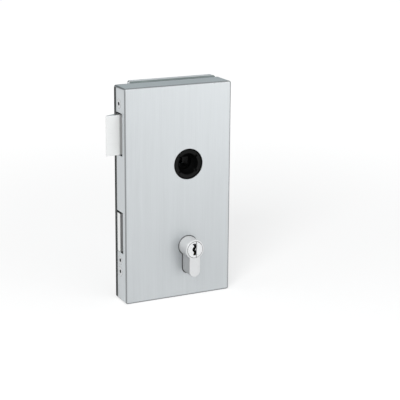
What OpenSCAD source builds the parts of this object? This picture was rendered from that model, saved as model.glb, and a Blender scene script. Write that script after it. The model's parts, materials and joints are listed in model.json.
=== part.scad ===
// Lock for a frameless glass door. A flat case lies on the near face of the glass and holds
// a sprung latch, a dead bolt and a profile cylinder. Screws through the glass clamp it to a
// counter plate on the far face.
// Frame: +Z up, -X towards the strike, -Y towards the case's front face.
// Origin: the lever's axis, where it crosses the glass face that the case lies on.
// Lengths are in millimetres and angles in degrees.

/* [Case] */
// Width of the case, from the forend face to the far side
case_w = 98; // [95:1:112]
// Height of the case and of the counter plate
case_h = 186; // [184:1:200]
// Depth of the case, from its front face to the glass
case_d = 22.5; // [21.5:0.5:28]
// Thickness of the two covers' sheet
cover_t = 1.5; // [1.2:0.1:1.8]
// Radius of the outline's corners
corner_r = 2; // [2:0.5:5]
// Thickness of the base plate that carries the bolts
base_t = 3; // [2.5:0.1:4]
// Thickness of the gaskets that lie on the glass
gasket_t = 1.5; // [1.2:0.1:2]
// Thickness of the gasket's lip under the rim of a cover
lip_t = 0.5; // [0.3:0.1:0.8]
// Thickness of the lock plate in front of the bolts
plate_t = 2; // [1.5:0.1:2.5]

/* [Layout] */
// Lever and cylinder axis, behind the forend face
backset = 58; // [56:0.5:61]
// Lever axis, below the top of the case
lever_drop = 68.5; // [67.5:0.5:72]
// Lever axis to cylinder axis
axis_pitch = 72; // [71:0.5:77]

/* [Glass and counter plate] */
// Thickness of the glass between the two gaskets
glass_t = 8; // [8:1:12]
// Width of the counter plate
counter_w = 80; // [76:1:86]
// Depth of the counter plate with its cover and gasket
counter_d = 7.5; // [7.2:0.1:9]
// Clamping screws, in from the sides of the counter plate
clamp_side_in = 12; // [11:0.5:14]
// Clamping screws, in from the top and bottom of the case
clamp_in = 10; // [9.5:0.5:12]

/* [Latch] */
// Height of the latch
latch_h = 34; // [31:0.5:35]
// Middle of the latch, above the lever axis
latch_rise = 27.9; // [27.5:0.1:29]
// Travel of the latch
latch_throw = 11.5; // [10.5:0.5:12.5]
// Length of the latch's block inside the case
latch_len = 28; // [25:0.5:30]
// Thickness of the latch's tip, before its bevel
latch_tip_t = 1.2; // [0.8:0.1:2]
// Length of the latch's bevel
latch_bevel = 9; // [7:0.5:10]
// Thickness of the latch and of the dead bolt
bar_t = 5.6; // [5.2:0.1:6.4]
// Turn of the lever that draws the latch in
lever_turn = 40; // [36:1:44]

/* [Dead bolt] */
// Height of the dead bolt
bolt_h = 34; // [31:0.5:36]
// Middle of the dead bolt, above the cylinder axis
bolt_rise = 15.1; // [14.8:0.1:16]
// Travel of the dead bolt for one turn of the key
bolt_throw = 18; // [15:0.5:19]
// Length of the dead bolt's block inside the case
bolt_len = 34; // [31:0.5:36]

/* [Forend] */
// Depth of the latch and bolt slots in the forend wall
slot_d = 12.2; // [11.5:0.1:13]
// Gap over a bolt in its slot
slot_over = 2; // [1:0.1:2.4]
// Gap under a bolt in its slot
slot_under = 0.4; // [0.2:0.1:0.8]
// Middle plane of the forend screws and of the cam, in front of the base plate
screw_lead = 5.6; // [5.3:0.1:6.2]
// Upper cover screw, above the latch
upper_screw_rise = 9.4; // [8.5:0.1:10.5]
// Lower cover screw, below the dead bolt
lower_screw_drop = 7.3; // [7:0.1:7.8]
// Cylinder screw, below the cylinder axis
cylinder_screw_drop = 19.2; // [19:0.1:20]

/* [Follower] */
// Side of the square hole for the lever's spindle
spindle_sq = 8.1; // [7.1:0.1:9.1]
// Radius of the follower's bearings
journal_r = 10; // [9:0.5:10.5]
// Radius of the follower's hub
hub_r = 11; // [10.8:0.1:11.5]
// Radius of the rounded end of the follower's arm
arm_tip_r = 2.8; // [2.4:0.1:3]
// Outer radius of the lever bushes
bush_r = 13.2; // [12.5:0.1:14]
// Radius of the bore of the lever bushes
bush_bore_r = 9; // [8:0.1:9.5]

/* [Cylinder] */
// Diameter of the cylinder's round head
head_d = 17; // [17:0.1:18]
// Width of the cylinder's leg
leg_w = 10; // [9.6:0.1:10.6]
// Height of the cylinder's profile
cylinder_h = 33; // [32.5:0.1:34]
// Length of the front half, from the cam's middle
front_half = 26.5; // [26.5:0.5:40]
// Length of the rear half, from the cam's middle
rear_half = 30; // [27:0.5:40]
// Diameter of the plugs
plug_d = 13; // [12.5:0.1:13.2]
// Reach of the cam's nose from the cylinder axis
cam_r = 15; // [14.5:0.1:15.4]
// Width of the cam along the cylinder axis
cam_w = 10; // [9:0.1:10.4]
// Width of the cam's nose
nose_w = 7; // [6:0.5:8]
// Diameter of the lock pins
pin_d = 2.7; // [2.4:0.1:2.8]
// Pins in each half of the cylinder
pin_n = 5; // [3:1:5]

/* [Fasteners] */
// Radius of the clamping screws' shanks
clamp_screw_r = 3; // [2.5:0.1:3.2]
// Radius of the cover screws' shanks
cover_screw_r = 2; // [1.5:0.1:2.2]
// Radius of the cylinder screw's shank
cylinder_screw_r = 2.5; // [2:0.1:2.5]
// Radius of the lock plate screws' shanks
plate_screw_r = 1.5; // [1.2:0.1:1.6]
// Outer radius of the sleeves around the clamping screws
sleeve_r = 7; // [6:0.5:8]

/* [Hidden] */
$fn = 64;

// Clearances
slide_gap = 0.1;
running_gap = 0.05;
fit_gap = 0.15;
profile_gap = 0.25;
rest_gap = 0.3;
cover_gap = 0.2;
bolt_gap = 0.5;
// Overlap that fuses a boss with the plate it stands on
weld = 0.5;
// Length by which a cut runs past a face
past = 1;

// Edges of the case
x_forend = -backset;
x_far = case_w - backset;
z_top = lever_drop;
z_bottom = lever_drop - case_h;
y_front = -case_d;
y_inside = y_front + cover_t;

// Levels between the glass and the front face
y_base_back = -gasket_t;
y_base = y_base_back - base_t;
y_bar_back = y_base - slide_gap;
y_bar = y_bar_back - bar_t;
y_plate_back = y_bar - slide_gap;
y_plate = y_plate_back - plate_t;
y_cam = y_base - screw_lead;

// Levels behind the glass
y_counter = glass_t;
y_counter_plate = y_counter + gasket_t;
y_counter_back = y_counter + counter_d;
y_counter_plate_back = y_counter_back - cover_t - cover_gap;

// Counter plate
x_counter = x_far - counter_w;
grub_side_in = 15;
grub_r = 1.25;
grub_len = 5;
grub_socket_r = 0.7;
y_grub = (y_counter_plate + y_counter_plate_back) / 2;
grub_places = [x_counter + grub_side_in, x_far - grub_side_in];
// The lower clamping screws sit this much further in than the upper ones
clamp_raise = 1.5;
clamp_points = [
    for (x = [x_counter + clamp_side_in, x_far - clamp_side_in],
         z = [z_bottom + clamp_in + clamp_raise, z_top - clamp_in]) [x, z]
];
boss_wall = 2.5;
boss_r = clamp_screw_r + boss_wall;
clamp_socket_r = 2.3;

// Latch
latch_bottom = latch_rise - latch_h / 2;
latch_top = latch_rise + latch_h / 2;
latch_rear = x_forend + latch_len;
half_turn = lever_turn / 2;
arm_r = latch_throw / (2 * sin(half_turn));
arm_w = 3.6;
tail_gap = 0.6;
tail_h = 10.8;
tail_bottom = arm_r + arm_tip_r + tail_gap;
tail_top = tail_bottom + tail_h;
hook_w = 6;
hook_drop = 2.2;
hook_x = -arm_r * sin(half_turn) + arm_tip_r + rest_gap;
hook_bottom = arm_r * cos(half_turn) - hook_drop;

// Latch spring and its rod
rod_r = 1.5;
rod_z = (tail_top + latch_top) / 2;
rod_seat = 6;
rod_past = 6;
spring_post_x = 4;
spring_post_w = 6;
spring_post_h = 8;
rod_end = spring_post_x + spring_post_w + rod_past;
spring_r = 2;
spring_wire_r = 0.35;
spring_turns = 9;

// Follower
lug_r = 19;
lug_w = 5;
stop_r = 2;
stop_gap = 1.5;
stop_ring = hub_r + stop_r + stop_gap;
stop_turn = half_turn + asin(lug_w / 2 / stop_ring) + asin((stop_r + rest_gap) / stop_ring);
return_spring_z = -16.6;
return_seat_in = 22;
return_seat_x = x_forend + return_seat_in;
return_seat_w = 5;
return_seat_h = 8;
return_spring_end = 1.9;
spigot_r = 1.3;
spigot_len = 5;

// Cylinder
z_cylinder = -axis_pitch;
head_r = head_d / 2;
leg_r = leg_w / 2;
leg_drop = cylinder_h - head_r - leg_r;
y_cylinder = y_cam - front_half;
y_cylinder_back = y_cam + rear_half;
plug_r = plug_d / 2;
collar_w = 0.8;
collar_r = plug_r + collar_w;
collar_t = 1.2;
groove_depth = 0.9;
clip_t = 0.8;
clip_gap = 0.2;
clip_rise = 1.1;
clip_mouth = 4;
cam_slot = cam_w + 2 * (clip_t + 2 * clip_gap);
plug_stop = 2.4;
clutch_half = plug_stop - clip_gap;
dog_len = 1.5;
dog_w = 2.5;
dog_in = 1.5;
ear_w = 2.4;
ear_reach = 0.85;
ear_r = plug_r + ear_reach;
cam_ring_r = head_r - rest_gap;
cam_gap = 0.6;
keyway_past = 0.6;
pin_r = pin_d / 2;
// Middle line of the keyway from its top to its bottom, about the plug's axis
keyway_line = [
    [-0.9, 4.9], [0.4, 4.2], [0.4, 2.6], [-1.1, 1.1],
    [-1.1, -0.5], [0.2, -1.8], [0.2, -2.9], [-0.4, -4.4]
];
keyway_w = 1.9;
pin_first = 4.2;
pin_pitch = 3.5;
pin_gap = 0.08;
pin_bore_r = pin_r + pin_gap;
pin_bore_past = 1.2;
key_pin_back = 0.2;
key_pin_low = plug_r - key_pin_back;
key_pin_high = 2.6;
key_pin_point = 0.9;
driver_back = 0.12;
driver_high = plug_r + driver_back;
driver_len = 4;
pin_spring_low = 17.9;
pin_wire_r = 0.2;
bore_plug_drop = cylinder_h - head_r - rest_gap;

// Dead bolt
z_bolt = z_cylinder + bolt_rise;
bolt_bottom = z_bolt - bolt_h / 2;
bolt_top = z_bolt + bolt_h / 2;
bolt_rear = x_forend + bolt_len;
bolt_tail_bottom = z_cylinder + head_r + bolt_gap;
bolt_tail_rise = 13.1;
bolt_tail_top = z_cylinder + cam_r + bolt_tail_rise;
// Turn of the cam, either side of its top, in which its nose stands in the bolt's notch
nose_half = asin(nose_w / 2 / cam_r);
notch_half_turn = acos((head_r + bolt_gap) / cam_r);
notch_half = cam_r * sin(notch_half_turn)
    - bolt_throw * (notch_half_turn - nose_half) / 360 + bolt_gap;
notch_x = bolt_throw / 2;
notch_top = z_cylinder + cam_r + bolt_gap;
bolt_tail_wall = 8.5;
bolt_tail_end = notch_x + notch_half + bolt_tail_wall;
guide_r = 3;
guide_in = 4;
guide_drop = 6.1;
guide_x = bolt_rear + guide_in;
guide_z = bolt_tail_top - guide_drop;
detent_in = 6;
detent_depth = 2;
detent_x = bolt_tail_end - bolt_throw - detent_in;
leaf_r = 0.3;
leaf_rise = 8;
leaf_len = 14;
leaf_z = bolt_tail_top + leaf_rise;
leaf_block_x = detent_x + leaf_len;
leaf_block_w = 9;
leaf_block_h = 8;
leaf_root_in = 1;
leaf_bend_x = 8;
leaf_knee = [2.2, 1.5];
leaf_nose_gap = 0.8;
leaf_tip = [2.5, 1.6];

// Forend screws
z_upper_screw = latch_top + upper_screw_rise;
z_lower_screw = bolt_bottom - lower_screw_drop;
z_cylinder_screw = z_cylinder - cylinder_screw_drop;
cover_head_r = 2 * cover_screw_r;
cover_screw_len = 11;
cylinder_head_rim = 2;
cylinder_head_r = cylinder_screw_r + cylinder_head_rim;
socket_d = 3.4;
screw_block_x = x_forend + cover_t + fit_gap;
screw_block_w = 10.4;
screw_block_half = 5.7;
screw_block_lead = 4.5;
screw_block_front = y_cam - screw_block_lead;

// Lock plate and the posts that carry it
post_r = 4;
plate_in = 13;
plate_off_far = 8;
plate_over_latch = 12;
plate_over_tail = 11;
plate_off_cam = 3;
plate_under_bolt = 9.6;
plate_x = x_forend + plate_in;
plate_far = x_far - plate_off_far;
plate_high = latch_top + plate_over_latch;
plate_low = bolt_tail_top - plate_over_tail;
plate_leg_x = -(cam_r + plate_off_cam);
plate_leg_low = bolt_bottom - plate_under_bolt;
// Posts: two over the latch, two on the far side, one between the bolts and one under them
post_in = 18;
post_over_latch = 7;
post_far = [26, 5.5];
post_side_in = [14, 13];
post_side_z = [6, -24];
post_mid_in = 12;
post_mid_z = -12;
post_under_bolt = 5.6;
plate_posts = [
    [x_forend + post_in, latch_top + post_over_latch],
    [x_far - post_far[0], latch_top + post_far[1]],
    [x_far - post_side_in[0], post_side_z[0]],
    [x_far - post_side_in[1], post_side_z[1]],
    [x_forend + post_mid_in, post_mid_z],
    [x_forend + post_in, bolt_bottom - post_under_bolt]
];
plate_head_r = 2 * plate_screw_r;
plate_head_t = 1.8;
plate_socket_r = 1.2;
plate_screw_len = 6;

// Bushes
bush_recess = 0.3;
bush_flange_w = 1.3;
bush_flange_t = 1.5;
bush_web_t = 2.7;
bush_web_gap = 0.75;
rear_spigot_w = 2;

// Solid between two depths, from an outline drawn in X and Z
module prism(y0, y1) {
    translate([0, y1, 0]) rotate([90, 0, 0]) linear_extrude(y1 - y0) children();
}

// Block between two corners
module block(low, high) {
    translate(low) cube(high - low);
}

// Round bars along the three axes
module rod_x(r, x0, x1, y, z) {
    translate([x0, y, z]) rotate([0, 90, 0]) cylinder(r = r, h = x1 - x0);
}

module rod_y(r, y0, y1, x = 0, z = 0) {
    translate([x, y1, z]) rotate([90, 0, 0]) cylinder(r = r, h = y1 - y0);
}

module rod_z(r, z0, z1, x, y) {
    translate([x, y, z0]) cylinder(r = r, h = z1 - z0);
}

// Round bar on the cylinder axis between two depths, in either order
module rod_span(r, y0, y1) {
    rod_y(r, min(y0, y1), max(y0, y1), 0, z_cylinder);
}

// Rectangle with round corners, in X and Z
module round_box(x0, x1, z0, z1, r) {
    translate([x0 + r, z0]) square([x1 - x0 - 2 * r, z1 - z0]);
    translate([x0, z0 + r]) square([x1 - x0, z1 - z0 - 2 * r]);
    for (x = [x0 + r, x1 - r], z = [z0 + r, z1 - r]) translate([x, z]) circle(r);
}

// Outline of the case, drawn in by an inset
module case_outline(inset = 0) {
    round_box(x_forend + inset, x_far - inset, z_bottom + inset, z_top - inset,
        max(corner_r - inset, 0.4));
}

// Outline of what lies inside the cover's rim and shows on the forend side
module base_outline() {
    rim = cover_t + fit_gap;
    intersection() {
        case_outline();
        translate([x_forend - past, z_bottom + rim])
            square([case_w + past - rim, case_h - 2 * rim]);
    }
}

// Outline of the counter plate, drawn in by an inset
module counter_outline(inset = 0) {
    round_box(x_counter + inset, x_far - inset, z_bottom + inset, z_top - inset,
        max(corner_r - inset, 0.4));
}

// Profile of the cylinder, drawn out by a gap
module cylinder_profile(gap = 0) {
    translate([0, z_cylinder]) circle(head_r + gap);
    translate([-leg_r - gap, z_cylinder - leg_drop]) square([leg_w + 2 * gap, leg_drop]);
    translate([0, z_cylinder - leg_drop]) circle(leg_r + gap);
}

// Countersunk screw along X with its head at x, drawn out by a gap
module sunk_screw_x(x, y, z, shank_r, head_r, len, gap = 0) {
    sink = head_r - shank_r;
    translate([x, y, z]) rotate([0, 90, 0]) {
        translate([0, 0, -gap]) cylinder(r1 = head_r + gap, r2 = shank_r, h = sink + gap);
        cylinder(r = shank_r + gap, h = len);
    }
}

// Hexagon socket cut into a screw's head along X
module socket_x(x, y, z, depth) {
    translate([x - past, y, z]) rotate([0, 90, 0])
        cylinder(d = socket_d, h = depth + past, $fn = 6);
}

// Slot in the forend wall for a bar between two heights
module forend_slot(z0, z1) {
    block([x_forend - past, y_base - slot_d, z0 - slot_under],
        [x_forend + cover_t + past, y_base + past, z1 + slot_over]);
}

// Coil spring along +Z from the origin, with its wire's outside between 0 and len
function coil_rings(len, coil_r, wire_r, turns, steps, sides) = [
    for (i = [0 : turns * steps], j = [0 : sides - 1])
        let (a = 360 * i / steps, b = 360 * j / sides,
            r = coil_r + wire_r * cos(b),
            z = wire_r + (len - 2 * wire_r) * i / (turns * steps) + wire_r * sin(b))
        [r * cos(a), r * sin(a), z]
];

function tube_faces(rings, sides) = concat(
    [for (i = [0 : rings - 2], j = [0 : sides - 1], half = [0, 1])
        let (k = (j + 1) % sides, a = i * sides, b = a + sides)
        half == 0 ? [a + j, a + k, b + k] : [a + j, b + k, b + j]],
    [[for (j = [sides - 1 : -1 : 0]) j]],
    [[for (j = [0 : sides - 1]) (rings - 1) * sides + j]]
);

module coil_spring(len, coil_r, wire_r, turns, steps = 12, sides = 6) {
    polyhedron(coil_rings(len, coil_r, wire_r, turns, steps, sides),
        tube_faces(turns * steps + 1, sides));
}

// Straight piece of the leaf spring between two points in X and Z
module leaf(p, q) {
    run = q - p;
    translate(p) rotate(atan2(run[1], run[0])) {
        translate([0, -leaf_r]) square([norm(run), 2 * leaf_r]);
        circle(leaf_r);
    }
}

// Places of the pins along one half of the cylinder
function pin_places(face, way) = [for (i = [0 : pin_n - 1]) face + way * (pin_first + i * pin_pitch)];
front_pins = pin_places(y_cylinder, 1);
rear_pins = pin_places(y_cylinder_back, -1);

module case_cover() {
    color("silver") difference() {
        prism(y_front, -lip_t) case_outline();
        prism(y_inside, past) case_outline(cover_t);
        block([x_forend - past, y_base, z_bottom + cover_t],
            [x_forend + cover_t + past, past, z_top - cover_t]);
        forend_slot(latch_bottom, latch_top);
        forend_slot(bolt_bottom, bolt_top);
        for (z = [z_upper_screw, z_lower_screw])
            sunk_screw_x(x_forend, y_cam, z, cover_screw_r, cover_head_r, cover_screw_len, slide_gap);
        sunk_screw_x(x_forend, y_cam, z_cylinder_screw, cylinder_screw_r, cylinder_head_r,
            backset, slide_gap);
        rod_y(bush_r + slide_gap, y_front - past, y_inside + past);
        prism(y_front - past, y_inside + past) cylinder_profile(profile_gap);
    }
}

// Block on the base plate that takes the forend screws between two heights
module screw_block(z0, z1) {
    block([screw_block_x, screw_block_front, z0 - screw_block_half],
        [screw_block_x + screw_block_w, y_base + weld, z1 + screw_block_half]);
}

module base_plate() {
    color([0.12, 0.14, 0.14]) difference() {
        union() {
            prism(y_base, y_base_back) base_outline();
            for (p = clamp_points) rod_y(boss_r, y_bar, y_base + weld, p[0], p[1]);
            for (p = plate_posts) rod_y(post_r, y_plate_back, y_base + weld, p[0], p[1]);
            screw_block(z_upper_screw, z_upper_screw);
            screw_block(z_cylinder_screw, z_lower_screw);
            block([spring_post_x, y_bar, rod_z - spring_post_h / 2],
                [spring_post_x + spring_post_w, y_base + weld, rod_z + spring_post_h / 2]);
            for (a = [-stop_turn, stop_turn])
                rod_y(stop_r, y_bar, y_base + weld, stop_ring * sin(a), -stop_ring * cos(a));
            block([return_seat_x, y_bar, return_spring_z - return_seat_h / 2],
                [return_seat_x + return_seat_w, y_base + weld, return_spring_z + return_seat_h / 2]);
            rod_x(spigot_r, return_seat_x + return_seat_w - weld,
                return_seat_x + return_seat_w + spigot_len, y_bar + bar_t / 2, return_spring_z);
            rod_y(guide_r, y_plate_back, y_base + weld, guide_x, guide_z);
            block([leaf_block_x, y_bar, leaf_z - leaf_block_h / 2],
                [leaf_block_x + leaf_block_w, y_base + weld, leaf_z + leaf_block_h / 2]);
        }
        rod_y(journal_r + running_gap, y_base - past, past);
        prism(y_base - past, past) cylinder_profile(profile_gap);
        for (p = clamp_points)
            rod_y(clamp_screw_r + running_gap, y_bar - past, past, p[0], p[1]);
        for (p = plate_posts)
            rod_y(plate_screw_r + running_gap, y_plate_back - past,
                y_plate_back + plate_screw_len, p[0], p[1]);
        for (z = [z_upper_screw, z_lower_screw])
            sunk_screw_x(x_forend, y_cam, z, cover_screw_r, cover_head_r,
                cover_screw_len + past, running_gap);
        sunk_screw_x(x_forend, y_cam, z_cylinder_screw, cylinder_screw_r, cylinder_head_r,
            backset, running_gap);
        rod_x(rod_r + slide_gap, spring_post_x - past, spring_post_x + spring_post_w + past,
            y_bar + bar_t / 2, rod_z);
        block([leaf_block_x - past, y_bar - past, leaf_z - leaf_r - fit_gap],
            [leaf_block_x + leaf_block_w + past, y_base - fit_gap, leaf_z + leaf_r + fit_gap]);
    }
}

module case_gasket() {
    color([0.06, 0.07, 0.07]) difference() {
        union() {
            prism(y_base_back, 0) base_outline();
            prism(-lip_t, 0) case_outline();
        }
        rod_y(journal_r + rest_gap, y_base_back - past, past);
        prism(y_base_back - past, past) cylinder_profile(profile_gap);
        for (p = clamp_points) rod_y(sleeve_r + fit_gap, y_base_back - past, past, p[0], p[1]);
    }
}

module lock_plate() {
    color([0.62, 0.63, 0.64]) difference() {
        prism(y_plate, y_plate_back) {
            translate([plate_x, plate_low])
                square([plate_far - plate_x, plate_high - plate_low]);
            translate([plate_x, plate_leg_low])
                square([plate_leg_x - plate_x, plate_low - plate_leg_low + weld]);
        }
        rod_y(journal_r + running_gap, y_plate - past, y_plate_back + past);
        for (p = plate_posts)
            rod_y(plate_screw_r + slide_gap, y_plate - past, y_plate_back + past, p[0], p[1]);
    }
}

module lock_plate_screws() {
    color("silver") for (p = plate_posts) difference() {
        union() {
            rod_y(plate_head_r, y_plate - plate_head_t, y_plate, p[0], p[1]);
            rod_y(plate_screw_r, y_plate - weld, y_plate_back + plate_screw_len - weld, p[0], p[1]);
        }
        translate([p[0], y_plate - plate_head_t / 3, p[1]]) rotate([90, 0, 0])
            cylinder(r = plate_socket_r, h = past + plate_head_t, $fn = 6);
    }
}

module cover_screws() {
    color("silver") for (z = [z_upper_screw, z_lower_screw]) difference() {
        sunk_screw_x(x_forend, y_cam, z, cover_screw_r, cover_head_r, cover_screw_len);
        socket_x(x_forend, y_cam, z, cover_screw_r);
    }
}

module cylinder_screw() {
    color("silver") difference() {
        sunk_screw_x(x_forend, y_cam, z_cylinder_screw, cylinder_screw_r, cylinder_head_r,
            backset + leg_r - past);
        socket_x(x_forend, y_cam, z_cylinder_screw, cylinder_screw_r);
    }
}

module latch_bolt() {
    tip_x = x_forend - latch_throw;
    color([0.88, 0.9, 0.9]) difference() {
        union() {
            translate([0, 0, latch_bottom]) linear_extrude(latch_h) polygon([
                [tip_x, y_bar],
                [latch_rear, y_bar],
                [latch_rear, y_bar_back],
                [tip_x + latch_bevel, y_bar_back],
                [tip_x, y_bar + latch_tip_t]
            ]);
            block([latch_rear - weld, y_bar, tail_bottom], [hook_x + hook_w, y_bar_back, tail_top]);
            block([hook_x, y_bar, hook_bottom], [hook_x + hook_w, y_bar_back, tail_bottom + weld]);
        }
        rod_x(rod_r + running_gap, latch_rear - rod_seat, latch_rear + past,
            y_bar + bar_t / 2, rod_z);
    }
}

module latch_rod() {
    color("silver") rod_x(rod_r, latch_rear - rod_seat, rod_end, y_bar + bar_t / 2, rod_z);
}

module latch_spring() {
    len = spring_post_x - latch_rear - 2 * slide_gap;
    color([0.45, 0.46, 0.48]) translate([latch_rear + slide_gap, y_bar + bar_t / 2, rod_z])
        rotate([0, 90, 0]) coil_spring(len, spring_r, spring_wire_r, spring_turns);
}

module follower() {
    color([0.3, 0.3, 0.31]) difference() {
        union() {
            rod_y(journal_r, y_plate, y_base_back);
            prism(y_bar, y_bar_back) {
                circle(hub_r);
                rotate(half_turn) {
                    translate([-arm_w / 2, 0]) square([arm_w, arm_r]);
                    translate([0, arm_r]) circle(arm_tip_r);
                    translate([-lug_w / 2, -lug_r]) square([lug_w, lug_r]);
                }
            }
        }
        prism(y_plate - past, past) square(spindle_sq, center = true);
    }
}

module follower_spring() {
    start = return_seat_x + return_seat_w + slide_gap;
    color([0.45, 0.46, 0.48]) translate([start, y_bar + bar_t / 2, return_spring_z])
        rotate([0, 90, 0])
            coil_spring(return_spring_end - start, spring_r, spring_wire_r, spring_turns);
}

module dead_bolt() {
    color([0.8, 0.82, 0.83]) prism(y_bar, y_bar_back) difference() {
        union() {
            translate([x_forend, bolt_bottom]) square([bolt_len, bolt_h]);
            translate([bolt_rear - weld, bolt_tail_bottom])
                square([bolt_tail_end - bolt_rear + weld, bolt_tail_top - bolt_tail_bottom]);
        }
        // Notch for the cam's nose
        translate([notch_x - notch_half, bolt_tail_bottom - past])
            square([2 * notch_half, notch_top - bolt_tail_bottom + past]);
        // Slot that runs on the guide post
        for (x = [guide_x, guide_x + bolt_throw])
            translate([x, guide_z]) circle(guide_r + slide_gap);
        translate([guide_x, guide_z - guide_r - slide_gap])
            square([bolt_throw, 2 * (guide_r + slide_gap)]);
        // Two notches for the leaf spring
        for (x = [detent_x, detent_x + bolt_throw]) translate([x, bolt_tail_top - detent_depth])
            polygon([[0, 0], [detent_depth + past, detent_depth + past],
                [-detent_depth - past, detent_depth + past]]);
    }
}

module detent_spring() {
    root = [leaf_block_x + leaf_block_w - leaf_root_in, leaf_z];
    bend = [detent_x + leaf_bend_x, leaf_z];
    knee = [detent_x + leaf_knee[0], bolt_tail_top + leaf_knee[1]];
    nose = [detent_x, bolt_tail_top - detent_depth + leaf_nose_gap];
    tip = [detent_x - leaf_tip[0], bolt_tail_top + leaf_tip[1]];
    color([0.45, 0.46, 0.48]) prism(y_bar + fit_gap, y_bar_back - fit_gap) {
        leaf(root, bend);
        leaf(bend, knee);
        leaf(knee, nose);
        leaf(nose, tip);
        translate(tip) circle(leaf_r);
    }
}

module front_bush() {
    flange = y_inside + slide_gap;
    web = y_plate - bush_web_t;
    color([0.08, 0.08, 0.08]) difference() {
        union() {
            rod_y(bush_r, y_front + bush_recess, y_plate);
            rod_y(bush_r + bush_flange_w, flange, flange + bush_flange_t);
        }
        rod_y(bush_bore_r, y_front - past, web);
        rod_y(spindle_sq / sqrt(2) + bush_web_gap, web - past, y_plate + past);
    }
}

module clamp_sleeves() {
    color([0.75, 0.76, 0.75]) for (p = clamp_points) difference() {
        rod_y(sleeve_r, y_base_back, y_counter_plate, p[0], p[1]);
        rod_y(clamp_screw_r + rest_gap, y_base_back - past, y_counter_plate + past, p[0], p[1]);
    }
}

// Countersunk screw along -Y with its head in the counter plate, drawn out by a gap
module clamp_screw(p, gap = 0) {
    sink = clamp_screw_r;
    translate([p[0], y_counter_plate_back, p[1]]) rotate([90, 0, 0]) {
        translate([0, 0, -gap])
            cylinder(r1 = 2 * clamp_screw_r + gap, r2 = clamp_screw_r, h = sink + gap);
        cylinder(r = clamp_screw_r + gap, h = y_counter_plate_back - y_bar - fit_gap);
    }
}

module clamp_screws() {
    color("silver") for (p = clamp_points) difference() {
        clamp_screw(p);
        translate([p[0], y_counter_plate_back + past, p[1]]) rotate([90, 0, 0])
            cylinder(r = clamp_socket_r, h = clamp_screw_r + past, $fn = 6);
    }
}

module counter_gasket() {
    color([0.06, 0.07, 0.07]) difference() {
        union() {
            prism(y_counter, y_counter + lip_t) counter_outline();
            prism(y_counter, y_counter_plate) counter_outline(cover_t + fit_gap);
        }
        rod_y(bush_bore_r + rear_spigot_w, y_counter - past, y_counter_plate + past);
        prism(y_counter - past, y_counter_plate + past) cylinder_profile(profile_gap);
        for (p = clamp_points)
            rod_y(sleeve_r + fit_gap, y_counter - past, y_counter_plate + past, p[0], p[1]);
    }
}

module counter_plate() {
    color([0.62, 0.63, 0.64]) difference() {
        prism(y_counter_plate, y_counter_plate_back) counter_outline(cover_t + fit_gap);
        rod_y(bush_bore_r + rear_spigot_w, y_counter_plate - past, y_counter_plate_back + past);
        prism(y_counter_plate - past, y_counter_plate_back + past) cylinder_profile(profile_gap);
        for (p = clamp_points) clamp_screw(p, running_gap);
        for (x = grub_places)
            rod_z(grub_r + running_gap, z_bottom, z_bottom + cover_t + grub_len, x, y_grub);
    }
}

module counter_cover() {
    color("silver") difference() {
        prism(y_counter + lip_t, y_counter_back) counter_outline();
        prism(y_counter - past, y_counter_back - cover_t) counter_outline(cover_t);
        rod_y(bush_r + slide_gap, y_counter, y_counter_back + past);
        prism(y_counter, y_counter_back + past) cylinder_profile(profile_gap);
        for (x = grub_places)
            rod_z(grub_r + running_gap, z_bottom - past, z_bottom + cover_t + past, x, y_grub);
    }
}

module counter_grub_screws() {
    color("silver") for (x = grub_places) difference() {
        rod_z(grub_r, z_bottom + slide_gap, z_bottom + cover_t + grub_len - weld, x, y_grub);
        translate([x, y_grub, z_bottom - past])
            cylinder(r = grub_socket_r, h = past + grub_r, $fn = 6);
    }
}

module rear_bush() {
    spigot = bush_bore_r + rear_spigot_w - slide_gap;
    color([0.08, 0.08, 0.08]) difference() {
        union() {
            rod_y(bush_r, y_counter_plate_back, y_counter_back - bush_recess);
            rod_y(spigot, y_counter_plate, y_counter_plate_back + slide_gap);
        }
        rod_y(bush_bore_r, y_counter_plate - past, y_counter_back + past);
    }
}

module cylinder_body() {
    color([0.8, 0.82, 0.83]) difference() {
        prism(y_cylinder, y_cylinder_back) cylinder_profile();
        rod_y(plug_r + running_gap, y_cylinder - past, y_cylinder_back + past, 0, z_cylinder);
        for (y = [[y_cylinder - past, y_cylinder + collar_t + slide_gap],
                  [y_cylinder_back - collar_t - slide_gap, y_cylinder_back + past]])
            rod_y(collar_r + running_gap, y[0], y[1], 0, z_cylinder);
        // Gap that the cam turns in
        block([-head_r - past, y_cam - cam_slot / 2, z_cylinder - cam_r - cam_gap],
            [head_r + past, y_cam + cam_slot / 2, z_cylinder + head_r + past]);
        rod_x(cylinder_screw_r + running_gap, -leg_w, leg_w, y_cam, z_cylinder_screw);
        for (y = concat(front_pins, rear_pins))
            rod_z(pin_bore_r, z_cylinder - cylinder_h, z_cylinder - plug_r + past, 0, y);
    }
}

// S-shaped keyway, in X and Z about the plug's axis
module keyway() {
    side = [keyway_w / 2, 0];
    back = [for (i = [len(keyway_line) - 1 : -1 : 0]) keyway_line[i] - side];
    polygon(concat([for (p = keyway_line) p + side], back));
}

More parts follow.
